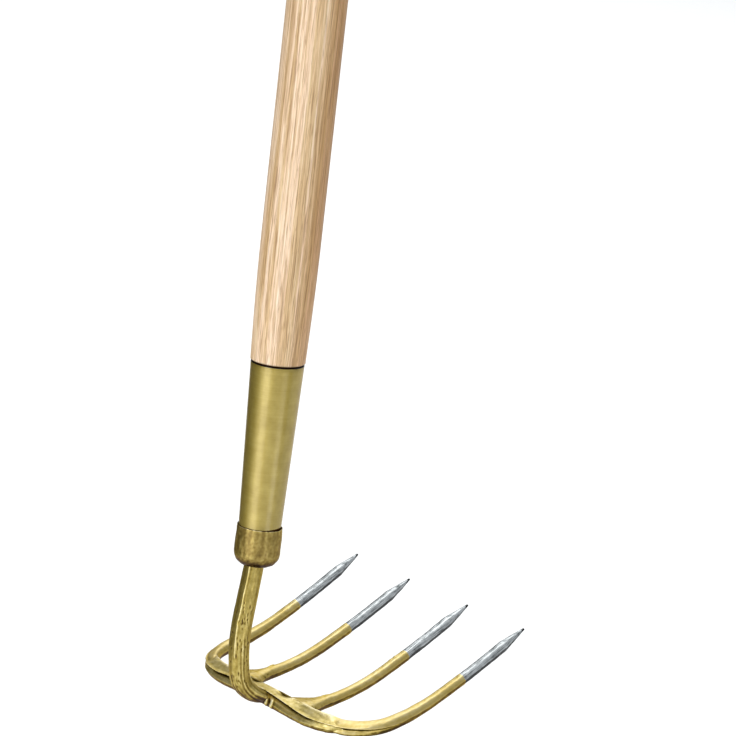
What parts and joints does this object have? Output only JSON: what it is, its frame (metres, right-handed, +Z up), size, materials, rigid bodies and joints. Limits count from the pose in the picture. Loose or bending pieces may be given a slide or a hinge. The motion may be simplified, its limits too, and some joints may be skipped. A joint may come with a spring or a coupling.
{
  "type": "long handled cultivator",
  "caption": "Long handled garden cultivator: round ash handle, tapered steel ferrule and a forged gold-lacquered claw head with upswept tines ground to bare points.",
  "frame": {"origin": "hand grip on the axis of the handle, 420 mm below the butt end", "axes": "+Z up the handle towards its butt end, +Y the way the tines reach, +X along the crossbar"},
  "size_m": [0.1498, 0.1517, 1.5627],
  "materials": {
    "ash_wood": "sanded ash with a thin clear lacquer, straight grain",
    "ferrule_gold": "gold lacquer over smooth drawn steel, satin",
    "forged_gold": "gold lacquer over rough forged steel, with bare ground steel at the points of the tines",
    "pin_steel": "plain steel"
  },
  "bodies": {
    "root": {"ash_handle": "ash_wood", "ferrule": "ferrule_gold", "ferrule_pin": "pin_steel", "bolster_cup": "forged_gold", "shank": "forged_gold", "crossbar": "forged_gold", "outer_left_tine": "forged_gold", "inner_left_tine": "forged_gold", "inner_right_tine": "forged_gold", "outer_right_tine": "forged_gold"}
  },
  "joints": []
}
